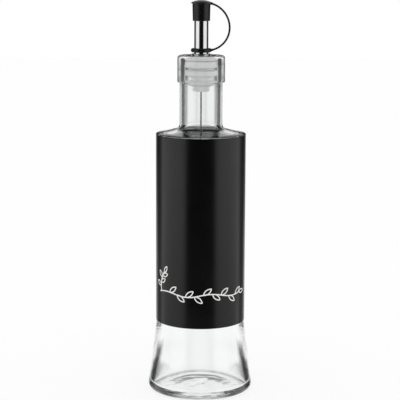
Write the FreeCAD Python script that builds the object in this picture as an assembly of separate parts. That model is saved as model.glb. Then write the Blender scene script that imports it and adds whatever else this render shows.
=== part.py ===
import FreeCAD, Part
import math
import os

# Vinegar cruet, in millimetres, +Z up, origin on the table at the middle of the base.
# A tall clear glass bottle with a flared foot wears a painted steel sleeve, which slides down over
# the shoulder and rests on the flare. A ribbed plastic stopper fills the neck and holds a polished
# steel spout and a thin vent tube. A black rubber dust cap closes the spout, and its strap, on the
# +X side, ends in a ring round the spout's foot. Every piece is turned about the Z axis but the strap.

# ---- glass bottle, outside ----
BOTTLE_HEIGHT = 226.3      # table to the rim of the lip
BODY_RADIUS = 29.4         # straight body, under the sleeve
FOOT_HEIGHT = 48.6         # where the flare starts, above the table
FLARE_OUT = 6.2            # how far the flare's line stands out past the body at the table
HEEL_ROUND = 3.6
SHOULDER_SLOPE = 14.3      # degrees, from the edge of the body up to the neck
SHOULDER_ROUND = 3.2
NECK_LENGTH = 30.3         # shoulder's cone to the underside of the lip
NECK_FILLET = 3.8
LIP_HEIGHT = 17.8
LIP_OVERHANG = 1.55        # lip past the neck
LIP_TOP_ROUND = 1.8
LIP_FOOT_ROUND = 0.8
LIP_FOOT_FILLET = 0.4      # where the lip's underside meets the neck
PUNT_RADIUS = 21.8         # hollow under the base, inside the ring that the bottle stands on
PUNT_RISE = 0.6
PUNT_RUN = 9.8             # width of the hollow's sloping edge

# ---- glass bottle, inside ----
BORE_RADIUS = 10.8
MOUTH_ROUND = 0.8
NECK_WALL = 3.5
BODY_WALL = 3.3
SHOULDER_WALL = 3.6
SHOULDER_INNER_ROUND = 4.5 # inside the edge of the shoulder
NECK_INNER_ROUND = 7.3     # where the bore opens into the body, about the same centre as the neck's fillet
FOOT_WALL = 4.09           # wall at the floor
INNER_FLARE_HEIGHT = 32.0  # upper of the two bends where the inside widens
INNER_FLARE_WAIST = 18.0   # lower bend
INNER_FLARE_OUT = 1.9      # how far the inside has widened at the lower bend
INNER_FLARE_ROUND = 28.0
FLOOR_HEIGHT = 4.0         # inside floor above the table
FLOOR_ROUND = 2.0

# ---- painted steel sleeve ----
SLEEVE_WALL = 0.5
SLEEVE_CLEARANCE = 0.1     # all round, between the sleeve and the glass
SLEEVE_EDGE_ROUND = 0.2

# ---- plastic stopper ----
FIT = 0.05                 # clearance of every push fit, all round
STOPPER_CORE_WALL = 1.9    # core between its fins, past the spout
PLUG_RADIUS = 5.6          # plain end below the last fin
PLUG_LENGTH = 3.0
PLUG_FLOOR = 2.2
FIN_EDGE_ROUND = 0.25
FINS = (                   # from the top: height of the rim, drop of its conical underside, gap below
    (6.0, 1.6, 0.9),
    (2.7, 2.0, 2.2),
    (1.8, 2.0, 0.0),
)
CHANNEL_RADIUS = 3.4       # pour channel below the spout
POUR_HOLES = 4             # round the vent tube, in the plug's floor
POUR_HOLE_RADIUS = 0.85
OVERCUT = 1.0              # how far a drilled hole's tool stands out past each face

# ---- polished steel spout ----
SPOUT_RADIUS = 4.72
SPOUT_WALL = 0.5
SPOUT_HEIGHT = 32.6        # above the rim of the lip
SPOUT_INSERT = 14.0        # length pushed into the stopper
DISC_THICKNESS = 1.3
COLLAR_WIDTH = 1.8
COLLAR_HEIGHT = 1.0
COLLAR_FILLET = 0.5
METAL_EDGE_ROUND = 0.3

# ---- vent tube ----
VENT_RADIUS = 0.58
VENT_BORE = 0.3            # radius
VENT_HANG = 45.0           # length below the stopper
VENT_SETBACK = 3.0         # its upper end below the mouth of the spout

# ---- rubber dust cap, strap and ring ----
CAP_OVERLAP = 10.0         # length of the spout inside the cap
CAP_WALL = 0.95            # at the open end
CAP_DRAFT = 0.25           # how much wider the cap is at its flange
CAP_HEADROOM = 0.3         # free height over the mouth of the spout
CAP_ROOF = 1.0             # roof below the flange
FLANGE_WIDTH = 0.75
FLANGE_THICKNESS = 0.8
DOME_RISE = 1.5
DOME_ROUND = 13.0
RING_LIFT = 1.0            # ring above the spout's collar
RING_HEIGHT = 2.7
RING_WIDTH = 2.1
RING_ROUND = 1.1
STRAP_RADIUS = 0.65
STRAP_BOW = 11.9           # centreline of the strap past the cap's flange
STRAP_DROOP = 0.7          # widest point below the middle of the strap's two ends
STRAP_ROOT = 1.0           # how deep each end is rooted in the flange and in the ring
STRAP_ROOT_LIFT = 0.2      # centre of its upper root above the flange's underside

# ---- places worked out from the sizes above ----
neck_radius = BORE_RADIUS + NECK_WALL
lip_radius = neck_radius + LIP_OVERHANG
lip_foot = BOTTLE_HEIGHT - LIP_HEIGHT
shoulder_tangent = math.tan(math.radians(SHOULDER_SLOPE))
shoulder_top = lip_foot - NECK_LENGTH
shoulder_edge = shoulder_top - (BODY_RADIUS - neck_radius) * shoulder_tangent
inner_radius = BODY_RADIUS - BODY_WALL
flare = FLARE_OUT / FOOT_HEIGHT

sleeve_inner = BODY_RADIUS + SLEEVE_CLEARANCE
sleeve_bottom = FOOT_HEIGHT - SLEEVE_CLEARANCE / flare + FIT

stopper_radius = BORE_RADIUS - FIT
stopper_top = BOTTLE_HEIGHT - DISC_THICKNESS - FIT
core_radius = SPOUT_RADIUS + FIT + STOPPER_CORE_WALL
plug_top = stopper_top - sum(rim + drop + gap for rim, drop, gap in FINS)
plug_bottom = plug_top - PLUG_LENGTH

disc_bottom = BOTTLE_HEIGHT - DISC_THICKNESS
collar_top = BOTTLE_HEIGHT + COLLAR_HEIGHT
spout_bottom = disc_bottom - SPOUT_INSERT
spout_top = BOTTLE_HEIGHT + SPOUT_HEIGHT

cap_inner = SPOUT_RADIUS + FIT
cap_bottom = spout_top - CAP_OVERLAP
cap_inside_top = spout_top + CAP_HEADROOM
flange_bottom = cap_inside_top + CAP_ROOF
flange_top = flange_bottom + FLANGE_THICKNESS
flange_radius = cap_inner + CAP_WALL + CAP_DRAFT + FLANGE_WIDTH
ring_bottom = collar_top + RING_LIFT
ring_radius = cap_inner + RING_WIDTH


def rounded_corner(before, corner, after, radius):
    """Start, middle and end of the arc that rounds a corner, kept within its two sides."""
    to_before = before - corner
    to_after = after - corner
    half = to_before.getAngle(to_after) / 2
    reach = min(radius / math.tan(half), 0.49 * to_before.Length, 0.49 * to_after.Length)
    to_before.normalize()
    to_after.normalize()
    inward = (to_before + to_after).normalize()
    from_corner = reach / math.cos(half) - reach * math.tan(half)
    return corner + to_before * reach, corner + inward * from_corner, corner + to_after * reach


def turned(outline):
    """Solid turned about Z from a closed outline of (radius, height, rounding of that corner)."""
    corners = [FreeCAD.Vector(radius, 0, height) for radius, height, rounding in outline]
    joints = []
    for index, (radius, height, rounding) in enumerate(outline):
        corner = corners[index]
        if rounding:
            after = corners[(index + 1) % len(corners)]
            joints.append(rounded_corner(corners[index - 1], corner, after, rounding))
        else:
            joints.append((corner, corner, corner))
    edges = []
    for index, (start, middle, end) in enumerate(joints):
        if start != end:
            edges.append(Part.Arc(start, middle, end).toShape())
        following = joints[(index + 1) % len(joints)][0]
        edges.append(Part.makeLine(end, following))
    face = Part.Face(Part.Wire(edges))
    return face.revolve(FreeCAD.Vector(0, 0, 0), FreeCAD.Vector(0, 0, 1), 360)


def bottle():
    """Flared foot, straight body, flat shoulder, neck and deep lip, with the inside as blown."""
    base_corner = BODY_RADIUS + FLARE_OUT
    floor_corner = base_corner - flare * FLOOR_HEIGHT - FOOT_WALL
    inside_edge = shoulder_edge + BODY_WALL * shoulder_tangent - SHOULDER_WALL
    inside_top = shoulder_edge + (BODY_RADIUS - BORE_RADIUS) * shoulder_tangent - SHOULDER_WALL
    return turned([
        (0, PUNT_RISE, 0),
        (PUNT_RADIUS - PUNT_RUN, PUNT_RISE, 0),
        (PUNT_RADIUS, 0, 0),
        (base_corner, 0, HEEL_ROUND),
        (BODY_RADIUS, FOOT_HEIGHT, 0),
        (BODY_RADIUS, shoulder_edge, SHOULDER_ROUND),
        (neck_radius, shoulder_top, NECK_FILLET),
        (neck_radius, lip_foot, LIP_FOOT_FILLET),
        (lip_radius, lip_foot, LIP_FOOT_ROUND),
        (lip_radius, BOTTLE_HEIGHT, LIP_TOP_ROUND),
        (BORE_RADIUS, BOTTLE_HEIGHT, MOUTH_ROUND),
        (BORE_RADIUS, inside_top, NECK_INNER_ROUND),
        (inner_radius, inside_edge, SHOULDER_INNER_ROUND),
        (inner_radius, INNER_FLARE_HEIGHT, INNER_FLARE_ROUND),
        (inner_radius + INNER_FLARE_OUT, INNER_FLARE_WAIST, INNER_FLARE_ROUND),
        (floor_corner, FLOOR_HEIGHT, FLOOR_ROUND),
        (0, FLOOR_HEIGHT, 0),
    ])


def sleeve():
    """Plain tube from its seat on the flare up to the edge of the shoulder."""
    outer = sleeve_inner + SLEEVE_WALL
    return turned([
        (sleeve_inner, sleeve_bottom, 0),
        (outer, sleeve_bottom, SLEEVE_EDGE_ROUND),
        (outer, shoulder_edge, SLEEVE_EDGE_ROUND),
        (sleeve_inner, shoulder_edge, 0),
    ])


def stopper():
    """Fins with flat tops and conical undersides on a hollow core, closed by a floor with pour holes."""
    outline = []
    height = stopper_top
    for rim, drop, gap in FINS:
        outline.append((stopper_radius, height, FIN_EDGE_ROUND))
        outline.append((stopper_radius, height - rim, FIN_EDGE_ROUND))
        outline.append((core_radius, height - rim - drop, 0))
        height -= rim + drop + gap
        outline.append((core_radius, height, 0))
    outline[-2:] = [(PLUG_RADIUS, plug_top, 0)]
    bore = SPOUT_RADIUS + FIT
    seat = VENT_RADIUS + FIT
    outline += [
        (PLUG_RADIUS, plug_bottom, FIN_EDGE_ROUND),
        (seat, plug_bottom, 0),
        (seat, plug_bottom + PLUG_FLOOR, 0),
        (CHANNEL_RADIUS, plug_bottom + PLUG_FLOOR, 0),
        (CHANNEL_RADIUS, spout_bottom - FIT, 0),
        (bore, spout_bottom - FIT, 0),
        (bore, stopper_top, 0),
    ]
    body = turned(outline)
    ring_of_holes = (seat + CHANNEL_RADIUS) / 2
    for index in range(POUR_HOLES):
        turn = 2 * math.pi * (index + 0.5) / POUR_HOLES
        across = ring_of_holes * math.cos(turn)
        along = ring_of_holes * math.sin(turn)
        below = FreeCAD.Vector(across, along, plug_bottom - OVERCUT)
        body = body.cut(Part.makeCylinder(POUR_HOLE_RADIUS, PLUG_FLOOR + 2 * OVERCUT, below))
    return body


def spout():
    """Tube with a collar and a disc that closes the mouth of the bottle, level with its rim."""
    bore = SPOUT_RADIUS - SPOUT_WALL
    collar = SPOUT_RADIUS + COLLAR_WIDTH
    return turned([
        (bore, spout_bottom, 0),
        (SPOUT_RADIUS, spout_bottom, 0),
        (SPOUT_RADIUS, disc_bottom, 0),
        (stopper_radius, disc_bottom, 0),
        (stopper_radius, BOTTLE_HEIGHT, METAL_EDGE_ROUND),
        (collar, BOTTLE_HEIGHT, 0),
        (collar, collar_top, METAL_EDGE_ROUND),
        (SPOUT_RADIUS, collar_top, COLLAR_FILLET),
        (SPOUT_RADIUS, spout_top, 0),
        (bore, spout_top, 0),
    ])


def vent_tube():
    """Thin tube on the axis, held by the floor of the stopper's plug."""
    bottom = plug_bottom - VENT_HANG
    length = spout_top - VENT_SETBACK - bottom
    foot = FreeCAD.Vector(0, 0, bottom)
    return Part.makeCylinder(VENT_RADIUS, length, foot).cut(Part.makeCylinder(VENT_BORE, length, foot))


def strap_half(anchor_radius, anchor_height, widest_radius, widest_height):
    """Round strap on one arc, from its anchor to the strap's widest point, where it runs upright."""
    rise = anchor_height - widest_height
    span = widest_radius - anchor_radius
    centre_radius = (widest_radius ** 2 - anchor_radius ** 2 - rise ** 2) / (2 * span)
    centre = FreeCAD.Vector(centre_radius, 0, widest_height)
    start = FreeCAD.Vector(widest_radius, 0, widest_height)
    section = Part.Face(Part.Wire(Part.makeCircle(STRAP_RADIUS, start, FreeCAD.Vector(0, 0, 1))))
    turn = math.degrees(math.atan2(rise, anchor_radius - centre_radius))
    return section.revolve(centre, FreeCAD.Vector(0, -1, 0), turn)


def cap():
    """Dust cap, strap and ring, moulded as one."""
    foot_radius = cap_inner + CAP_WALL
    head_radius = foot_radius + CAP_DRAFT
    dust_cap = turned([
        (0, cap_inside_top, 0),
        (cap_inner, cap_inside_top, 0),
        (cap_inner, cap_bottom, 0),
        (foot_radius, cap_bottom, METAL_EDGE_ROUND),
        (head_radius, flange_bottom, 0),
        (flange_radius, flange_bottom, METAL_EDGE_ROUND),
        (flange_radius, flange_top, METAL_EDGE_ROUND),
        (flange_radius / 2, flange_top + DOME_RISE, DOME_ROUND),
        (0, flange_top + DOME_RISE, 0),
    ])
    ring = turned([
        (cap_inner, ring_bottom, 0),
        (ring_radius, ring_bottom, RING_ROUND),
        (ring_radius, ring_bottom + RING_HEIGHT, RING_ROUND),
        (cap_inner, ring_bottom + RING_HEIGHT, 0),
    ])
    upper_anchor = flange_bottom + STRAP_ROOT_LIFT
    lower_anchor = ring_bottom + RING_HEIGHT / 2
    widest_radius = flange_radius + STRAP_BOW
    widest_height = (upper_anchor + lower_anchor) / 2 - STRAP_DROOP
    upper = strap_half(flange_radius - STRAP_ROOT, upper_anchor, widest_radius, widest_height)
    lower = strap_half(ring_radius - STRAP_ROOT, lower_anchor, widest_radius, widest_height)
    return dust_cap.fuse([ring, upper, lower]).removeSplitter()


NODES = {
    "bottle": bottle,
    "sleeve": sleeve,
    "stopper": stopper,
    "spout": spout,
    "vent_tube": vent_tube,
    "cap": cap,
}

os.makedirs("parts", exist_ok=True)
for name, make in NODES.items():
    solids = make().Solids
    if len(solids) != 1 or not solids[0].isValid():
        raise ValueError(name + " is not one valid solid")
    solids[0].exportStep("parts/" + name + ".step")
    box = solids[0].BoundBox
    volume = solids[0].Volume / 1000
    print(f"{name}: {volume:.2f} cm3, Z {box.ZMin:.2f} to {box.ZMax:.2f}")
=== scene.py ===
import math

import bpy
import numpy as np
from mathutils import Matrix, Vector


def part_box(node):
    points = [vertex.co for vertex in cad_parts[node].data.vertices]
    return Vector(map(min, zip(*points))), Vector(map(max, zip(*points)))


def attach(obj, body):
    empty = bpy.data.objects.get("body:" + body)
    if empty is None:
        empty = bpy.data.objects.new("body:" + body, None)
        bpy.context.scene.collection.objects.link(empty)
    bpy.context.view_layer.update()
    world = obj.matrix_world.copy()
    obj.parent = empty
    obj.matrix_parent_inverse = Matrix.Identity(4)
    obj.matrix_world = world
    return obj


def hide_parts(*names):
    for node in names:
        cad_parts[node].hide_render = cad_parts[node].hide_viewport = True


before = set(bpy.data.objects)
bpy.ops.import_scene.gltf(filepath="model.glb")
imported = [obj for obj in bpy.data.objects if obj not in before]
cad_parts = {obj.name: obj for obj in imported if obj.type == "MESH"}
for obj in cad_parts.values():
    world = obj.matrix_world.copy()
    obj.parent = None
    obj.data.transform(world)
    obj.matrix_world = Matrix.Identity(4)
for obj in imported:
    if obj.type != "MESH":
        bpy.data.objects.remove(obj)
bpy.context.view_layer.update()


# ---------------------------------------------------------------------------
# The bottle. Clear pressed and blown glass, one piece: a flared foot on a
# stippled bearing ring, a straight body, a round shoulder, a neck and a lip.
# It stands on the table and carries all the rest.

MM = 0.001
ARC_TURN = 8.0
LEAST_ROUNDING = 0.02


def rounded_outline(corners, closed, longest_run):
    """Straight runs between corners (radius, height, rounding), in millimetres.

    Each corner is cut by the arc that touches both its runs: it starts at
    rounding * tan(turn / 2) before the corner. Runs are divided evenly so that no
    part is longer than longest_run, or than the corner's own fourth number for the
    run after it, and arcs so that no part turns more than ARC_TURN degrees. No
    rounding is under LEAST_ROUNDING. Returns the points, and the normals that point
    to the right of the way forward.
    """
    runs = [corner[3] if len(corner) > 3 else longest_run for corner in corners]
    corners = np.array([corner[:3] for corner in corners], float)
    spots = corners[:, :2]
    count = len(spots)
    arcs = []
    for i in range(count):
        here = spots[i]
        if not closed and i in (0, count - 1):
            way = spots[1] - spots[0] if i == 0 else spots[-1] - spots[-2]
            way = way / np.linalg.norm(way)
            arcs.append((here[None], np.array([[way[1], -way[0]]])))
            continue
        back = here - spots[i - 1]
        ahead = spots[(i + 1) % count] - here
        back = back / np.linalg.norm(back)
        ahead = ahead / np.linalg.norm(ahead)
        turn = math.atan2(back[0] * ahead[1] - back[1] * ahead[0], back @ ahead)
        rounding = max(corners[i, 2], LEAST_ROUNDING)
        side = math.copysign(1.0, turn)
        start = here - back * rounding * math.tan(abs(turn) / 2)
        middle = start + side * rounding * np.array([-back[1], back[0]])
        parts = max(2, math.ceil(math.degrees(abs(turn)) / ARC_TURN))
        bend = np.linspace(0, turn, parts + 1)
        right = np.array([back[1], -back[0]])
        turned_right = np.stack(
            [
                right[0] * np.cos(bend) - right[1] * np.sin(bend),
                right[0] * np.sin(bend) + right[1] * np.cos(bend),
            ],
            1,
        )
        arcs.append((middle + side * rounding * turned_right, turned_right))
    points = []
    normals = []
    for i in range(count):
        points.append(arcs[i][0])
        normals.append(arcs[i][1])
        if not closed and i == count - 1:
            break
        run_start = arcs[i][0][-1]
        run_end = arcs[(i + 1) % count][0][0]
        parts = math.ceil(np.linalg.norm(run_end - run_start) / runs[i])
        if parts > 1:
            share = np.linspace(0, 1, parts + 1)[1:-1, None]
            points.append(run_start + (run_end - run_start) * share)
            normals.append(np.repeat(arcs[i][1][-1:], parts - 1, 0))
    return np.concatenate(points), np.concatenate(normals)


SAME_SPOT = 1e-9


def skin(name, points, normals, round_first, round_second, material):
    """A grid of points, first by second parameter, made into one closed smooth mesh.

    A quad joins each point to the next along both parameters. A parameter that is
    round joins its last line to its first. Where it isn't, a first or last line
    that has shrunk to one spot becomes a fan of triangles round a single vertex.
    """
    rows, columns = points.shape[:2]
    index = np.arange(rows * columns).reshape(rows, columns)
    if not round_first:
        for row in (0, rows - 1):
            if np.ptp(points[row], 0).max() < SAME_SPOT:
                index[row] = index[row, 0]
    down = np.concatenate([index, index[:1]]) if round_first else index
    across = np.concatenate([down, down[:, :1]], 1) if round_second else down
    quads = np.stack(
        [across[:-1, :-1], across[:-1, 1:], across[1:, 1:], across[1:, :-1]], -1
    ).reshape(-1, 4)
    first_fan = quads[:, 0] == quads[:, 1]
    last_fan = quads[:, 2] == quads[:, 3]
    triangles = np.concatenate([quads[first_fan][:, 1:], quads[last_fan][:, :3]])
    quads = quads[~(first_fan | last_fan)]
    joined = np.concatenate([quads.ravel(), triangles.ravel()])
    used, packed = np.unique(joined, return_inverse=True)
    mesh = bpy.data.meshes.new(name)
    mesh.vertices.add(len(used))
    mesh.vertices.foreach_set("co", points.reshape(-1, 3)[used].astype(np.float32).ravel())
    sizes = np.concatenate([np.full(len(quads), 4), np.full(len(triangles), 3)])
    starts = np.concatenate([[0], np.cumsum(sizes)[:-1]])
    mesh.loops.add(len(packed))
    mesh.loops.foreach_set("vertex_index", packed.astype(np.int32))
    mesh.polygons.add(len(sizes))
    mesh.polygons.foreach_set("loop_start", starts.astype(np.int32))
    mesh.polygons.foreach_set("use_smooth", np.ones(len(sizes), bool))
    mesh.update(calc_edges=True)
    mesh.validate()
    mesh.normals_split_custom_set_from_vertices(normals.reshape(-1, 3)[used].tolist())
    mesh.materials.append(material)
    piece = bpy.data.objects.new(name, mesh)
    bpy.context.scene.collection.objects.link(piece)
    return piece


NEAR_AXIS = 0.5


def turned_skin(name, corners, closed, around, material, relief=None, longest_run=2.5):
    """A rounded outline turned about the upright axis.

    The point at angle a is (radius * cos a, radius * sin a, height). relief gives
    how far it is pushed out along its normal, from the angle, radius and height,
    and the normal leans back by the slope of that relief both ways, with the slope
    round the axis worked out at a radius of NEAR_AXIS or more.
    """
    line, right = rounded_outline(corners, closed, longest_run)
    angle = np.linspace(0, 2 * np.pi, around, endpoint=False)
    cos_a = np.cos(angle)
    sin_a = np.sin(angle)
    radius = line[:, :1]
    height = np.repeat(line[:, 1:], around, 1)
    points = np.stack([radius * cos_a, radius * sin_a, height], -1)
    normals = np.stack(
        [right[:, :1] * cos_a, right[:, :1] * sin_a, np.repeat(right[:, 1:], around, 1)], -1
    )
    if relief is not None:
        rise = relief(angle[None, :], radius, line[:, 1:])
        length = np.concatenate([[0], np.cumsum(np.linalg.norm(np.diff(line, axis=0), axis=1))])
        slope_along = np.gradient(rise, length, axis=0)
        slope_round = (np.roll(rise, -1, 1) - np.roll(rise, 1, 1)) * around / (4 * np.pi)
        slope_round = slope_round / np.maximum(radius, NEAR_AXIS)
        along = np.stack(
            [-right[:, 1:] * cos_a, -right[:, 1:] * sin_a, np.repeat(right[:, :1], around, 1)], -1
        )
        across = np.stack([-sin_a, cos_a, np.zeros(around)], -1)[None]
        points = points + normals * rise[..., None]
        normals = normals - along * slope_along[..., None] - across * slope_round[..., None]
        normals = normals / np.linalg.norm(normals, axis=-1, keepdims=True)
    return skin(name, points * MM, normals, closed, True, material)


def node_link(tree, source, output, target, socket):
    """Joins one node's output to another node's input, both by name or number."""
    tree.links.new(source.outputs[output], target.inputs[socket])


def plain_material(name):
    """A new material's node tree and its Principled shader."""
    material = bpy.data.materials.new(name)
    material.use_nodes = True
    shader = material.node_tree.nodes["Principled BSDF"]
    return material, material.node_tree, shader


def effect_group(name, inputs, output, output_size):
    """A new shader node group, with its input and output nodes.

    inputs gives each socket's name and first value. A socket is a number, a vector
    or a colour, by how many numbers it holds: one, three or four.
    """
    kinds = {1: "NodeSocketFloat", 3: "NodeSocketVector", 4: "NodeSocketColor"}
    group = bpy.data.node_groups.new(name, "ShaderNodeTree")
    for label, value in inputs.items():
        kind = kinds[np.size(value)]
        socket = group.interface.new_socket(label, in_out="INPUT", socket_type=kind)
        socket.default_value = value
    group.interface.new_socket(output, in_out="OUTPUT", socket_type=kinds[output_size])
    return group, group.nodes.new("NodeGroupInput"), group.nodes.new("NodeGroupOutput")


def add_effect(tree, group, values):
    """Places an effect's node group in a material, with that material's own values."""
    node = tree.nodes.new("ShaderNodeGroup")
    node.node_tree = group
    for label, value in values.items():
        node.inputs[label].default_value = value
    return node


# Handling leaves faint smudges on every smooth surface: soft patches of noise, spread
# between the lowest and the highest roughness.
smudges, smudge_in, smudge_out = effect_group(
    "handling smudges", {"Size": 60.0, "Lowest": 0.0, "Highest": 0.1}, "Roughness", 1
)
smudge_place = smudges.nodes.new("ShaderNodeTexCoord")
smudge_noise = smudges.nodes.new("ShaderNodeTexNoise")
smudge_noise.inputs["Detail"].default_value = 4.0
smudge_noise.inputs["Roughness"].default_value = 0.6
smudge_spread = smudges.nodes.new("ShaderNodeMapRange")
smudge_spread.inputs["From Min"].default_value = 0.35
smudge_spread.inputs["From Max"].default_value = 0.7
node_link(smudges, smudge_place, "Object", smudge_noise, "Vector")
node_link(smudges, smudge_in, "Size", smudge_noise, "Scale")
node_link(smudges, smudge_noise, "Fac", smudge_spread, "Value")
node_link(smudges, smudge_in, "Lowest", smudge_spread, "To Min")
node_link(smudges, smudge_in, "Highest", smudge_spread, "To Max")
node_link(smudges, smudge_spread, "Result", smudge_out, "Roughness")


def smudged(tree, shader, size, lowest, highest):
    """Puts the handling smudges into a shader's roughness."""
    marks = add_effect(tree, smudges, {"Size": size, "Lowest": lowest, "Highest": highest})
    node_link(tree, marks, "Roughness", shader, "Roughness")


# Moulds, rollers and coats of paint leave shallow dimples: noise of one size, raised
# by a depth in metres.
dimples, dimple_in, dimple_out = effect_group(
    "shallow dimples", {"Size": 900.0, "Depth": 0.00001}, "Normal", 3
)
dimple_place = dimples.nodes.new("ShaderNodeTexCoord")
dimple_noise = dimples.nodes.new("ShaderNodeTexNoise")
dimple_bump = dimples.nodes.new("ShaderNodeBump")
node_link(dimples, dimple_place, "Object", dimple_noise, "Vector")
node_link(dimples, dimple_in, "Size", dimple_noise, "Scale")
node_link(dimples, dimple_noise, "Fac", dimple_bump, "Height")
node_link(dimples, dimple_in, "Depth", dimple_bump, "Distance")
node_link(dimples, dimple_bump, "Normal", dimple_out, "Normal")


def dimpled(tree, shader, size, depth):
    """Puts the shallow dimples into a shader's normal."""
    marks = add_effect(tree, dimples, {"Size": size, "Depth": depth})
    node_link(tree, marks, "Normal", shader, "Normal")


clear_glass, glass_tree, glass_shader = plain_material("clear glass")
glass_shader.inputs["Base Color"].default_value = (0.985, 0.992, 0.99, 1)
glass_shader.inputs["Transmission Weight"].default_value = 1.0
glass_shader.inputs["IOR"].default_value = 1.5
smudged(glass_tree, glass_shader, size=45.0, lowest=0.0, highest=0.012)
dimpled(glass_tree, glass_shader, size=55.0, depth=0.00008)

bottle_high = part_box("bottle")[1]
sleeve_low, sleeve_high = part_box("sleeve")
LIP_TOP = bottle_high.z / MM
LIP_FOOT = 208.5
LIP_RADIUS = 15.85
NECK_RADIUS = 14.3
NECK_ROOT = 178.2
BORE_RADIUS = 10.8
BORE_ROOT = 175.493
BODY_TOP = sleeve_high.z / MM
BODY_RADIUS = 29.4
INSIDE_RADIUS = 26.1
INSIDE_SHOULDER = 171.592
INSIDE_FLARE_TOP = 27
INSIDE_FLOOR = 4.0
INSIDE_FLOOR_RADIUS = 31
FOOT_TOP = 48.6
FOOT_RADIUS = 35.6
HOLLOW_RISE = 0.6
HOLLOW_FLAT_RADIUS = 12
HOLLOW_RADIUS = 21.8

# Every outline gives its corners as radius, height, rounding and, for some, the
# longest part of the run that follows. This one goes up the outside and down inside.
BOTTLE_OUTLINE = [
    (0, HOLLOW_RISE, 0, 2.4),
    (HOLLOW_FLAT_RADIUS, HOLLOW_RISE, 60),
    (HOLLOW_RADIUS, 0, 1.5, 0.6),
    (FOOT_RADIUS, 0, 3.6, 4),
    (BODY_RADIUS, FOOT_TOP, 12, 12),
    (BODY_RADIUS, BODY_TOP, 3.2),
    (NECK_RADIUS, NECK_ROOT, 3.8, 6),
    (NECK_RADIUS, LIP_FOOT, 0.4),
    (LIP_RADIUS, LIP_FOOT, 0.8, 4),
    (LIP_RADIUS, LIP_TOP, 1.8),
    (BORE_RADIUS, LIP_TOP, 0.8, 6),
    (BORE_RADIUS, BORE_ROOT, 7.3),
    (INSIDE_RADIUS, INSIDE_SHOULDER, 4.5, 12),
    (INSIDE_RADIUS, INSIDE_FLARE_TOP, 160),
    (INSIDE_FLOOR_RADIUS, INSIDE_FLOOR, 2),
    (0, INSIDE_FLOOR, 0),
]

STIPPLES = 96
STIPPLE_ROW = 2.6
STIPPLE_DEPTH = 0.1
BEARING_INNER = 25.5
BEARING_OUTER = 34.9
BEARING_FADE = 1.5
BEARING_TOP = 1.2
BEARING_TOP_FADE = 0.6
WAVE_DEPTH = 0.04
WAVE_RADIUS = 27.5
WAVE_FADE = 4
WAVE_TOP = 7.5
WAVE_TOP_FADE = 1.5
WAVE_UNDER_RADIUS = 20


def glass_relief(angle, radius, height):
    """Stipples round the bearing ring and a gentle wave in the glass of the base.

    Stipples: half of cos(STIPPLES * angle) * cos(turns of STIPPLE_ROW along the
    radius), less a half, times STIPPLE_DEPTH, so they are cut inwards only, and
    faded in and out over the ring. Wave: WAVE_DEPTH times three crossed sines of the
    plan position, on the inside floor and on the middle of the hollow underneath,
    where it has faded out by WAVE_UNDER_RADIUS plus WAVE_FADE times the height.
    """
    flat_x = radius * np.cos(angle)
    flat_y = radius * np.sin(angle)
    ring = np.clip((radius - BEARING_INNER) / BEARING_FADE, 0, 1)
    ring = ring * np.clip((BEARING_OUTER - radius) / BEARING_FADE, 0, 1)
    ring = ring * np.clip((BEARING_TOP - height) / BEARING_TOP_FADE, 0, 1)
    row = np.cos(radius * 2 * np.pi / STIPPLE_ROW)
    stipple = ring * STIPPLE_DEPTH * (0.5 * np.cos(STIPPLES * angle) * row - 0.5)
    floor = np.clip((WAVE_TOP - height) / WAVE_TOP_FADE, 0, 1)
    floor = floor * np.clip((WAVE_RADIUS - radius) / WAVE_FADE, 0, 1)
    floor = floor * np.clip((WAVE_UNDER_RADIUS - radius) / WAVE_FADE + height, 0, 1)
    wave = np.sin(0.42 * flat_x + 0.9) * np.sin(0.31 * flat_y + 0.4)
    wave = wave + 0.6 * np.sin(0.75 * flat_x - 0.5 * flat_y + 2.0)
    wave = wave + 0.4 * np.sin(1.1 * flat_y + 0.6 * flat_x)
    return stipple + floor * WAVE_DEPTH * wave


bottle = turned_skin(
    "glass_bottle",
    BOTTLE_OUTLINE,
    closed=False,
    around=384,
    material=clear_glass,
    relief=glass_relief,
)
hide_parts("bottle")
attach(bottle, "root")


# ---------------------------------------------------------------------------
# The sleeve. Thin steel sheet rolled into a tube, its edges eased, and coated
# satin black. It is slipped down over the body and grips it by friction.

SLEEVE_TOP = sleeve_high.z / MM
SLEEVE_FOOT = sleeve_low.z / MM
SLEEVE_RADIUS = sleeve_high.x / MM
SLEEVE_INSIDE = BODY_RADIUS + 0.1
SLEEVE_EDGE = 0.2
SLEEVE_INNER_EDGE = 0.05

# No coating, plastic or metal is one flat colour: fine noise of one size mixes a dark
# and a light shade, and may be stretched along the way the surface was worked.
mottle, mottle_in, mottle_out = effect_group(
    "fine mottle",
    {"Size": 260.0, "Stretch": (1.0, 1.0, 1.0), "Dark": (0, 0, 0, 1), "Light": (1, 1, 1, 1)},
    "Color",
    4,
)
mottle_place = mottle.nodes.new("ShaderNodeTexCoord")
mottle_stretch = mottle.nodes.new("ShaderNodeMapping")
mottle_noise = mottle.nodes.new("ShaderNodeTexNoise")
mottle_mix = mottle.nodes.new("ShaderNodeMix")
mottle_mix.data_type = "RGBA"
node_link(mottle, mottle_place, "Object", mottle_stretch, "Vector")
node_link(mottle, mottle_in, "Stretch", mottle_stretch, "Scale")
node_link(mottle, mottle_stretch, "Vector", mottle_noise, "Vector")
node_link(mottle, mottle_in, "Size", mottle_noise, "Scale")
node_link(mottle, mottle_noise, "Fac", mottle_mix, 0)
node_link(mottle, mottle_in, "Dark", mottle_mix, 6)
node_link(mottle, mottle_in, "Light", mottle_mix, 7)
node_link(mottle, mottle_mix, 2, mottle_out, "Color")


def mottled(tree, size, dark, light, stretch=(1.0, 1.0, 1.0)):
    """The fine mottle placed in a material, from two shades (red, green, blue)."""
    shades = {"Size": size, "Stretch": stretch, "Dark": (*dark, 1), "Light": (*light, 1)}
    return add_effect(tree, mottle, shades)


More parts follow.
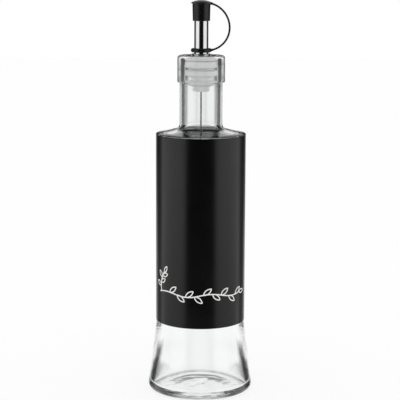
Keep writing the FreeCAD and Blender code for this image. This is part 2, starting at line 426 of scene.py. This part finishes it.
satin_black, satin_tree, satin_shader = plain_material("satin black coating")
satin_shader.inputs["IOR"].default_value = 1.5
satin_shade = mottled(
    satin_tree, size=260.0, dark=(0.0012, 0.0012, 0.0013), light=(0.0022, 0.0022, 0.0023)
)
node_link(satin_tree, satin_shade, "Color", satin_shader, "Base Color")
smudged(satin_tree, satin_shader, size=40.0, lowest=0.2, highest=0.25)
dimpled(satin_tree, satin_shader, size=1400.0, depth=0.000004)

SLEEVE_OUTLINE = [
    (SLEEVE_INSIDE, SLEEVE_TOP, SLEEVE_INNER_EDGE),
    (SLEEVE_INSIDE, SLEEVE_FOOT, SLEEVE_INNER_EDGE),
    (SLEEVE_RADIUS, SLEEVE_FOOT, SLEEVE_EDGE),
    (SLEEVE_RADIUS, SLEEVE_TOP, SLEEVE_EDGE),
]
sleeve = turned_skin(
    "steel_sleeve", SLEEVE_OUTLINE, closed=True, around=320, material=satin_black, longest_run=8
)
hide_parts("sleeve")
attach(sleeve, "root")


# ---------------------------------------------------------------------------
# The print on the sleeve. A plain trailing sprig in off-white enamel, screened
# on the front of the sleeve as fine lines that stand just proud of the black.

PRINT_LIFT = 0.05
PRINT_SINK = 0.02
LINE_WIDTH = 1.0
LINE_ENDS = 0.6
STEM_START = -33
STEM_LENGTH = 64
STEM_HEIGHT = 70.2
STEM_WAVE = 1.1
STEM_LEAVES = 9
STEM_LEAF_LEAN = 38
STEM_LINE = LINE_WIDTH * 0.8
LEAF_LINE = LINE_WIDTH * 0.75

white_enamel, enamel_tree, enamel_shader = plain_material("off-white enamel")
enamel_shade = mottled(
    enamel_tree, size=900.0, dark=(0.74, 0.74, 0.73), light=(0.86, 0.86, 0.85)
)
node_link(enamel_tree, enamel_shade, "Color", enamel_shader, "Base Color")
smudged(enamel_tree, enamel_shader, size=80.0, lowest=0.35, highest=0.45)


def printed_line(path, width):
    """A drawn line laid on the sleeve, as rings of points for skin.

    path is points (distance round the sleeve, height) in millimetres. Each ring is
    a flat oval across the path: half a width to each side, PRINT_LIFT above the
    sleeve at its middle and PRINT_SINK below. The width tapers to nothing at both
    ends, as the square root of the distance from them over LINE_ENDS widths.
    """
    step = np.gradient(path, axis=0)
    step = step / np.linalg.norm(step, axis=1, keepdims=True)
    aside = np.stack([-step[:, 1], step[:, 0]], 1)
    run = np.concatenate([[0], np.cumsum(np.linalg.norm(np.diff(path, axis=0), axis=1))])
    taper = np.sqrt(np.clip(np.minimum(run, run[-1] - run) / (LINE_ENDS * width), 0, 1))
    turn = np.linspace(0, 2 * np.pi, 12, endpoint=False)
    flat = np.sign(np.cos(turn)) * np.abs(np.cos(turn)) ** 0.7
    lift = np.where(np.sin(turn) > 0, PRINT_LIFT, PRINT_SINK) * np.sin(turn)
    spread = path[:, None] + aside[:, None] * (taper[:, None] * flat * width / 2)[..., None]
    angle = spread[..., 0] / SLEEVE_RADIUS
    radius = SLEEVE_RADIUS + lift * taper[:, None]
    points = np.stack([radius * np.sin(angle), -radius * np.cos(angle), spread[..., 1]], -1)
    out = np.stack([np.sin(angle), -np.cos(angle), np.zeros_like(angle)], -1)
    return points, out


def leaf_line(foot, lean, length, fullness):
    """The outline of a leaf as one line: out along one edge and back along the other.

    The edges bow by fullness * sin(pi * share) ** 0.8 either side of a rib that
    leans by lean degrees from level, starting at foot.
    """
    share = np.linspace(0, 2, 61)
    along = np.where(share < 1, share, 2 - share)
    bow = np.sin(np.pi * along) ** 0.8 * fullness * np.where(share < 1, 1, -1)
    rib = np.array([math.cos(math.radians(lean)), math.sin(math.radians(lean))])
    side = np.array([-rib[1], rib[0]])
    return np.array(foot) + along[:, None] * length * rib + bow[:, None] * side


def curved_line(start, pull, end):
    """A bowed line: a quadratic curve from start to end, drawn towards pull."""
    share = np.linspace(0, 1, 49)[:, None]
    start, pull, end = (np.array(p, float) for p in (start, pull, end))
    return (1 - share) ** 2 * start + 2 * share * (1 - share) * pull + share**2 * end


def stem_line(share):
    """The stem at shares of its length: level, with two waves STEM_WAVE high."""
    wave = STEM_WAVE * np.sin(4 * np.pi * share)
    return np.stack([STEM_START + STEM_LENGTH * share, STEM_HEIGHT + wave], -1)


# The leaves go to and fro along the stem, with one at its tip. A short branch at its
# start bows upwards and carries four small leaves and one more at its own tip.
sprig_lines = [(stem_line(np.linspace(0, 1, 161)), STEM_LINE)]
for number, place in enumerate(np.linspace(0.17, 0.93, STEM_LEAVES)):
    lean = -STEM_LEAF_LEAN if number % 2 else STEM_LEAF_LEAN
    leaf = leaf_line(stem_line(place), lean, length=6.6, fullness=1.35)
    sprig_lines.append((leaf, LEAF_LINE))
tip_leaf = leaf_line((31.0, STEM_HEIGHT), lean=0, length=6.0, fullness=1.3)
sprig_lines.append((tip_leaf, LEAF_LINE))
branch = curved_line(start=(-30.5, 70.3), pull=(-33.5, 76), end=(-27.5, 84))
sprig_lines.append((branch, LINE_WIDTH))
for knot, lean in ((16, 150), (24, 30), (36, 130), (40, 15)):
    leaf = leaf_line(branch[knot], lean, length=5.2, fullness=1.2)
    sprig_lines.append((leaf, LEAF_LINE))
branch_tip_leaf = leaf_line((-27.5, 83.6), lean=60, length=5.0, fullness=1.1)
sprig_lines.append((branch_tip_leaf, LEAF_LINE))

line_pieces = []
for number, (path, width) in enumerate(sprig_lines):
    ring_points, ring_normals = printed_line(path, width)
    line_piece = skin(
        f"sprig_line_{number}",
        ring_points * MM,
        ring_normals,
        round_first=False,
        round_second=True,
        material=white_enamel,
    )
    line_pieces.append(line_piece)
with bpy.context.temp_override(
    active_object=line_pieces[0],
    object=line_pieces[0],
    selected_objects=line_pieces,
    selected_editable_objects=line_pieces,
):
    bpy.ops.object.join()
sprig = line_pieces[0]
sprig.name = "sprig_print"
sprig.data.name = "sprig_print"
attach(sprig, "root")


# ---------------------------------------------------------------------------
# The stopper. Milky soft plastic, moulded in one piece: a round plug with fins that
# press on the bore of the neck, pour holes in its floor, and a top flush under the
# disc of the spout. It is pushed into the neck.

# Heights of the painted groove shade under the rim of the stopper.
GROOVE_SHADE_LOW = LIP_TOP - 4.2
GROOVE_SHADE_HIGH = LIP_TOP - 2.2

# A painted shade stands in for the shadow in a groove under its rim: one soft dark ring,
# multiplied across the mottle.
milky_plastic, milky_tree, milky_shader = plain_material("milky plastic")
milky_shader.inputs["Subsurface Weight"].default_value = 0.2
milky_shader.inputs["Subsurface Radius"].default_value = (1.0, 1.0, 1.0)
milky_shader.inputs["Subsurface Scale"].default_value = 0.002
milky_shader.inputs["IOR"].default_value = 1.3
milky_shade = mottled(milky_tree, size=160.0, dark=(0.95, 0.95, 0.95), light=(0.98, 0.98, 0.98))
milky_place = milky_tree.nodes.new("ShaderNodeTexCoord")
milky_axes = milky_tree.nodes.new("ShaderNodeSeparateXYZ")
groove_shade_band = milky_tree.nodes.new("ShaderNodeMapRange")
groove_shade_band.inputs["From Min"].default_value = GROOVE_SHADE_LOW * MM
groove_shade_band.inputs["From Max"].default_value = GROOVE_SHADE_HIGH * MM
groove_shade_ramp = milky_tree.nodes.new("ShaderNodeValToRGB")
groove_shade_ramp.color_ramp.elements[0].position = 0.15
groove_shade_ramp.color_ramp.elements[0].color = (1, 1, 1, 1)
groove_shade_ramp.color_ramp.elements[1].position = 0.85
groove_shade_ramp.color_ramp.elements[1].color = (1, 1, 1, 1)
groove_shade_dark = groove_shade_ramp.color_ramp.elements.new(0.5)
groove_shade_dark.color = (0.5, 0.5, 0.5, 1)
milky_mix = milky_tree.nodes.new("ShaderNodeMix")
milky_mix.data_type = "RGBA"
milky_mix.blend_type = "MULTIPLY"
milky_mix.inputs[0].default_value = 1.0
node_link(milky_tree, milky_place, "Object", milky_axes, "Vector")
node_link(milky_tree, milky_axes, "Z", groove_shade_band, "Value")
node_link(milky_tree, groove_shade_band, "Result", groove_shade_ramp, "Fac")
node_link(milky_tree, milky_shade, "Color", milky_mix, 6)
node_link(milky_tree, groove_shade_ramp, "Color", milky_mix, 7)
node_link(milky_tree, milky_mix, 2, milky_shader, "Base Color")
smudged(milky_tree, milky_shader, size=120.0, lowest=0.5, highest=0.65)
dimpled(milky_tree, milky_shader, size=900.0, depth=0.00001)

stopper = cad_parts["stopper"]
stopper.data.materials.clear()
stopper.data.materials.append(milky_plastic)


# ---------------------------------------------------------------------------
# The spout. Bright stainless tube with a pressed disc and a low collar brazed
# round it. The tube goes down into the stopper and the disc lies on the lip.

spout_low, spout_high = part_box("spout")
SPOUT_TOP = spout_high.z / MM
SPOUT_FOOT = spout_low.z / MM
SPOUT_RADIUS = 4.72
SPOUT_BORE = 4.22
SPOUT_EDGE = 0.12
DISC_RADIUS = spout_high.x / MM
DISC_TOP = LIP_TOP
DISC_UNDER = DISC_TOP - 1.3
DISC_EDGE = 0.3
COLLAR_RADIUS = 6.52
COLLAR_TOP = DISC_TOP + 1.0

bright_steel, steel_tree, steel_shader = plain_material("bright stainless")
steel_shader.inputs["Metallic"].default_value = 1.0
steel_shade = mottled(
    steel_tree,
    size=1800.0,
    dark=(0.78, 0.78, 0.78),
    light=(0.9, 0.9, 0.9),
    stretch=(1.0, 1.0, 0.05),
)
node_link(steel_tree, steel_shade, "Color", steel_shader, "Base Color")
smudged(steel_tree, steel_shader, size=150.0, lowest=0.04, highest=0.1)

SPOUT_OUTLINE = [
    (SPOUT_BORE, SPOUT_TOP, SPOUT_EDGE),
    (SPOUT_BORE, SPOUT_FOOT, SPOUT_EDGE),
    (SPOUT_RADIUS, SPOUT_FOOT, SPOUT_EDGE),
    (SPOUT_RADIUS, DISC_UNDER, 0.1),
    (DISC_RADIUS, DISC_UNDER, DISC_EDGE),
    (DISC_RADIUS, DISC_TOP, DISC_EDGE),
    (COLLAR_RADIUS, DISC_TOP, 0.5),
    (COLLAR_RADIUS, COLLAR_TOP, 0.3),
    (SPOUT_RADIUS, COLLAR_TOP, 0.25),
    (SPOUT_RADIUS, SPOUT_TOP, SPOUT_EDGE),
]
spout = turned_skin(
    "pouring_spout", SPOUT_OUTLINE, closed=True, around=192, material=bright_steel
)
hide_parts("spout")
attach(spout, "root")


# ---------------------------------------------------------------------------
# The vent tube. A thin drawn steel tube that lets air down past the liquid. It
# is pushed through the seat in the floor of the stopper and hangs in the bottle.

vent_low, vent_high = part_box("vent_tube")
VENT_TOP = vent_high.z / MM
VENT_FOOT = vent_low.z / MM
VENT_RADIUS = 0.58
VENT_BORE = 0.3
VENT_EDGE = 0.05

drawn_steel, drawn_tree, drawn_shader = plain_material("drawn steel")
drawn_shader.inputs["Metallic"].default_value = 1.0
drawn_shade = mottled(drawn_tree, size=2500.0, dark=(0.3, 0.3, 0.3), light=(0.42, 0.42, 0.42))
node_link(drawn_tree, drawn_shade, "Color", drawn_shader, "Base Color")
smudged(drawn_tree, drawn_shader, size=300.0, lowest=0.22, highest=0.35)

VENT_OUTLINE = [
    (VENT_BORE, VENT_TOP, VENT_EDGE),
    (VENT_BORE, VENT_FOOT, VENT_EDGE),
    (VENT_RADIUS, VENT_FOOT, VENT_EDGE),
    (VENT_RADIUS, VENT_TOP, VENT_EDGE),
]
vent_tube = turned_skin(
    "air_vent_tube", VENT_OUTLINE, closed=True, around=48, material=drawn_steel, longest_run=4
)
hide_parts("vent_tube")
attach(vent_tube, "root")


# ---------------------------------------------------------------------------
# The dust cap. Black rubber, moulded flat in one piece: a tapered cap with a
# flanged dome, a round strap and a ring. The ring is stretched over the spout.

cap_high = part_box("cap")[1]
CAP_TOP = cap_high.z / MM
CAP_ROOF_UNDER = 259.2
CAP_MOUTH = 248.9
CAP_MOUTH_RADIUS = 5.72
CAP_WAIST_RADIUS = 5.97
CAP_BORE = 4.77
FLANGE_UNDER = 260.2
FLANGE_TOP = 261.0
FLANGE_RADIUS = 6.72
DOME_RADIUS = 3.36
RING_RADIUS = 6.87
RING_FOOT = 228.3
RING_TOP = 231.0

black_rubber, rubber_tree, rubber_shader = plain_material("black rubber")
rubber_shader.inputs["IOR"].default_value = 1.5
rubber_shade = mottled(
    rubber_tree, size=420.0, dark=(0.0012, 0.0012, 0.0012), light=(0.003, 0.003, 0.003)
)
node_link(rubber_tree, rubber_shade, "Color", rubber_shader, "Base Color")
smudged(rubber_tree, rubber_shader, size=200.0, lowest=0.24, highest=0.34)
dimpled(rubber_tree, rubber_shader, size=1500.0, depth=0.000006)

CAP_OUTLINE = [
    (0, CAP_ROOF_UNDER, 0),
    (CAP_BORE, CAP_ROOF_UNDER, 0.5),
    (CAP_BORE, CAP_MOUTH, 0.2),
    (CAP_MOUTH_RADIUS, CAP_MOUTH, 0.25),
    (CAP_WAIST_RADIUS, FLANGE_UNDER, 0.2),
    (FLANGE_RADIUS, FLANGE_UNDER, 0.25),
    (FLANGE_RADIUS, FLANGE_TOP, 0.25),
    (DOME_RADIUS, CAP_TOP, 13),
    (0, CAP_TOP, 0),
]
cap_shell = turned_skin(
    "dust_cap", CAP_OUTLINE, closed=False, around=160, material=black_rubber
)

RING_OUTLINE = [
    (CAP_BORE, RING_TOP, 0.9),
    (CAP_BORE, RING_FOOT, 0.9),
    (RING_RADIUS, RING_FOOT, 1.1),
    (RING_RADIUS, RING_TOP, 1.1),
]
cap_ring = turned_skin(
    "dust_cap_ring", RING_OUTLINE, closed=True, around=128, material=black_rubber, longest_run=0.6
)

STRAP_RADIUS = 0.65
STRAP_SWELL = 0.4
STRAP_SWELL_RUN = 1.4
STRAP_MIDDLE = 244.325
STRAP_PARTS = 60
UPPER_ARC_CENTRE = 2.154
UPPER_ARC_RADIUS = 16.466
UPPER_ROOT = (5.72, 260.4)
LOWER_ARC_CENTRE = 3.80
LOWER_ARC_RADIUS = 14.82
LOWER_ROOT = (5.87, 229.65)


def strap_points():
    """A round cord carried along two arcs that meet at the strap's widest point.

    The arcs lie in the upright plane through the axis, with their centres at the
    height STRAP_MIDDLE. The upper one runs from the flange, the lower one to the
    ring. Each ring of points is the arc's way out times cos, plus the level way
    across times sin, times the cord's radius, which swells at the roots by
    STRAP_SWELL * exp(-(distance from the nearer end / STRAP_SWELL_RUN) ** 2).
    """
    upper_start = math.atan2(UPPER_ROOT[1] - STRAP_MIDDLE, UPPER_ROOT[0] - UPPER_ARC_CENTRE)
    lower_end = math.atan2(LOWER_ROOT[1] - STRAP_MIDDLE, LOWER_ROOT[0] - LOWER_ARC_CENTRE)
    upper = np.linspace(upper_start, 0, STRAP_PARTS, endpoint=False)
    lower = np.linspace(0, lower_end, STRAP_PARTS)
    turn = np.concatenate([upper, lower])
    size = np.repeat([UPPER_ARC_RADIUS, LOWER_ARC_RADIUS], STRAP_PARTS)
    centre = np.repeat([UPPER_ARC_CENTRE, LOWER_ARC_CENTRE], STRAP_PARTS)
    level = np.zeros(2 * STRAP_PARTS)
    out = np.stack([np.cos(turn), level, np.sin(turn)], 1)
    path = out * size[:, None] + np.stack([centre, level, level + STRAP_MIDDLE], 1)
    run = np.concatenate([[0], np.cumsum(np.linalg.norm(np.diff(path, axis=0), axis=1))])
    end = np.minimum(run, run[-1] - run)
    thick = STRAP_RADIUS + STRAP_SWELL * np.exp(-((end / STRAP_SWELL_RUN) ** 2))
    thick[[0, -1]] = 0
    across = np.array([0.0, -1.0, 0.0])
    spin = np.linspace(0, 2 * np.pi, 24, endpoint=False)
    ring = out[:, None] * np.cos(spin)[:, None] + across * np.sin(spin)[:, None]
    return path[:, None] + ring * thick[:, None, None], ring


strap_rings, strap_normals = strap_points()
cap_strap = skin(
    "dust_cap_strap",
    strap_rings * MM,
    strap_normals,
    round_first=False,
    round_second=True,
    material=black_rubber,
)
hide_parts("cap")
for piece in (cap_shell, cap_ring, cap_strap):
    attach(piece, "root")


# ---------------------------------------------------------------------------
# The table and the studio round it. A pale table top that keeps the soft shadow,
# white behind, a tall soft light at each side, and dark cloth between them.

TABLE_REACH = 3
TABLE_DROP = 0.00002
TABLE_SELF_WHITE = 0.8

table_mesh = bpy.data.meshes.new("table_top")
table_mesh.from_pydata(
    [
        (-TABLE_REACH, -TABLE_REACH, 0),
        (TABLE_REACH, -TABLE_REACH, 0),
        (TABLE_REACH, TABLE_REACH, 0),
        (-TABLE_REACH, TABLE_REACH, 0),
    ],
    [],
    [(0, 1, 2, 3)],
)
table_top = bpy.data.objects.new("table_top", table_mesh)
bpy.context.scene.collection.objects.link(table_top)
table_top.location.z = -TABLE_DROP
pale_table, table_tree, table_shader = plain_material("pale table")
table_shader.inputs["Base Color"].default_value = (0.99, 0.99, 0.99, 1)
table_shader.inputs["Roughness"].default_value = 0.8
table_glow = table_tree.nodes.new("ShaderNodeEmission")
table_rays = table_tree.nodes.new("ShaderNodeLightPath")
table_share = table_tree.nodes.new("ShaderNodeMath")
table_share.operation = "MULTIPLY"
table_share.inputs[1].default_value = TABLE_SELF_WHITE
table_mix = table_tree.nodes.new("ShaderNodeMixShader")
node_link(table_tree, table_rays, "Is Camera Ray", table_share, 0)
node_link(table_tree, table_share, "Value", table_mix, "Fac")
node_link(table_tree, table_shader, "BSDF", table_mix, 1)
node_link(table_tree, table_glow, "Emission", table_mix, 2)
node_link(table_tree, table_mix, "Shader", table_tree.nodes["Material Output"], "Surface")
table_mesh.materials.append(pale_table)
table_top.visible_glossy = False
table_top.visible_transmission = False

studio = bpy.data.worlds.new("studio")
studio.use_nodes = True
bpy.context.scene.world = studio
sky = studio.node_tree
sky_back = sky.nodes["Background"]
sky_back.inputs["Color"].default_value = (1, 1, 1, 1)
sky_place = sky.nodes.new("ShaderNodeTexCoord")
sky_parts = sky.nodes.new("ShaderNodeSeparateXYZ")
node_link(sky, sky_place, "Generated", sky_parts, "Vector")


def sky_math(operation, first, second=None):
    """One step of arithmetic in the world's nodes, on outputs or plain numbers."""
    node = sky.nodes.new("ShaderNodeMath")
    node.operation = operation
    for socket, value in ((0, first), (1, second)):
        if isinstance(value, bpy.types.NodeSocket):
            sky.links.new(value, node.inputs[socket])
        elif value is not None:
            node.inputs[socket].default_value = value
    return node.outputs[0]


def sky_ramp(value, stops):
    """Brightness by angle, read off stops (angle, grey) from the first to the last."""
    low = stops[0][0]
    high = stops[-1][0]
    spread = sky.nodes.new("ShaderNodeMapRange")
    spread.inputs["From Min"].default_value = low
    spread.inputs["From Max"].default_value = high
    sky.links.new(value, spread.inputs["Value"])
    ramp = sky.nodes.new("ShaderNodeValToRGB")
    sky.links.new(spread.outputs["Result"], ramp.inputs["Fac"])
    marks = ramp.color_ramp.elements
    while len(marks) < len(stops):
        marks.new(0.5)
    for mark, (angle, grey) in zip(marks, stops):
        mark.position = (angle - low) / (high - low)
        mark.color = (grey, grey, grey, 1)
    return ramp.outputs["Color"]


# Two angles in degrees: round the table, from 0 straight behind the cruet to 180 in
# front of it, the same on both sides, and rise, from -90 below to 90 overhead.
aside = sky_math("ABSOLUTE", sky_parts.outputs["X"])
round_angle = sky_math("ARCTAN2", aside, sky_parts.outputs["Y"])
round_degrees = sky_math("MULTIPLY", round_angle, 180 / math.pi)
rise_angle = sky_math("ARCSINE", sky_parts.outputs["Z"])
rise_degrees = sky_math("MULTIPLY", rise_angle, 180 / math.pi)

# The studio is four bands, one under the other. Each has its brightness round the
# table, times how far it reaches up and down. The upper three have a white backdrop
# behind, dark cloth beside it, a soft light at each side and dark in front, and the
# lowest is white all the way round to the dark in front.
BACKDROP = [(0, 0.86), (13, 0.86), (18, 0.6), (24, 0.25), (30, 0.05)]
UPPER_ROUND = BACKDROP + [
    (78, 0.03), (90, 0.95), (126, 1), (140, 0.9), (150, 0.02), (180, 0),
]
UPPER_RISE = [
    (-90, 0), (-5.2, 0), (-4.2, 1), (0.5, 1), (2.5, 0.06),
    (9, 0.06), (14, 1), (25, 1), (45, 0.3), (90, 0.2),
]
LEVEL_ROUND = BACKDROP + [
    (42, 0.04), (50, 0.1), (58, 0.2), (67, 1), (126, 1), (137, 0.85), (146, 0.02), (180, 0),
]
LEVEL_RISE = [(-90, 0.4), (-15, 0.4), (-10.5, 1), (-5.2, 1), (-4.2, 0), (90, 0)]
MIDDLE_ROUND = [
    (0, 0.97), (22, 0.95), (29, 0.6), (35, 0.15), (50, 0.1),
    (58, 0.3), (67, 1), (80, 0), (180, 0),
]
MIDDLE_RISE = [(-90, 1), (-12, 1), (-8, 0), (90, 0)]
LOW_ROUND = [(0, 0.97), (132, 0.95), (146, 0.02), (180, 0.02)]
LOW_RISE = [(-90, 1), (-21, 1), (-14, 0), (90, 0)]
STUDIO_BANDS = [
    (UPPER_ROUND, UPPER_RISE),
    (LEVEL_ROUND, LEVEL_RISE),
    (MIDDLE_ROUND, MIDDLE_RISE),
    (LOW_ROUND, LOW_RISE),
]

# Under the bands lies the pale table all round, and over them a dim ceiling.
TABLE_RISE = [(-90, 0.85), (-60, 0.8), (-35, 0.8), (-25, 0.9), (-19, 0), (90, 0)]
CEILING_RISE = [(-90, 0), (35, 0), (60, 0.2), (90, 0.3)]

ceiling = sky_ramp(rise_degrees, CEILING_RISE)
seen = sky_math("MAXIMUM", sky_ramp(rise_degrees, TABLE_RISE), ceiling)
for round_stops, rise_stops in STUDIO_BANDS:
    reach = sky_ramp(rise_degrees, rise_stops)
    band = sky_math("MULTIPLY", sky_ramp(round_degrees, round_stops), reach)
    seen = sky_math("MAXIMUM", seen, band)

# What is seen through the glass is bright in front as well, so that the glass stays
# clear from behind, while what it mirrors there stays dark.
FRONT_OPENING = [(0, 0), (150, 0), (156, 0.25), (162, 0.6), (167, 0.86), (180, 0.9)]

sky_rays = sky.nodes.new("ShaderNodeLightPath")
through_glass = sky_rays.outputs["Is Transmission Ray"]
opening = sky_math("MULTIPLY", sky_ramp(round_degrees, FRONT_OPENING), through_glass)
seen = sky_math("MAXIMUM", seen, opening)

# Glass and metal mirror the studio. All else, and all light that has been scattered,
# meets a plain white of strength one.
mirrored = sky_math("ADD", sky_rays.outputs["Is Glossy Ray"], through_glass)
mirrored = sky_math("MINIMUM", mirrored, 1.0)
unscattered = sky_math("LESS_THAN", sky_rays.outputs["Diffuse Depth"], 0.5)
mirrored = sky_math("MULTIPLY", mirrored, unscattered)
plain = sky_math("SUBTRACT", 1.0, mirrored)
level = sky_math("ADD", sky_math("MULTIPLY", seen, mirrored), plain)
sky.links.new(level, sky_back.inputs["Strength"])


# ---------------------------------------------------------------------------
# The camera. It stands in front, a little higher than the top of the cruet, and looks
# a little down on it through a long lens. Many bounces carry light through the glass.

CAMERA_SPOT = (-0.00041, -0.94983, 0.295583)
CAMERA_DOWN = 9.927
CAMERA_ROLL = 0.244
GLASS_BOUNCES = 32

camera_data = bpy.data.cameras.new("camera")
camera_data.lens = 129.24
camera_data.sensor_width = 36.0
camera = bpy.data.objects.new("camera", camera_data)
bpy.context.scene.collection.objects.link(camera)
camera_place = Matrix.Translation(Vector(CAMERA_SPOT))
camera_tilt = Matrix.Rotation(math.radians(90 - CAMERA_DOWN), 4, "X")
camera_roll = Matrix.Rotation(math.radians(CAMERA_ROLL), 4, "Z")
camera.matrix_world = camera_place @ camera_tilt @ camera_roll
bpy.context.scene.camera = camera
bpy.context.scene.view_settings.view_transform = "Standard"
bpy.context.scene.cycles.max_bounces = GLASS_BOUNCES
bpy.context.scene.cycles.glossy_bounces = GLASS_BOUNCES
bpy.context.scene.cycles.transmission_bounces = GLASS_BOUNCES
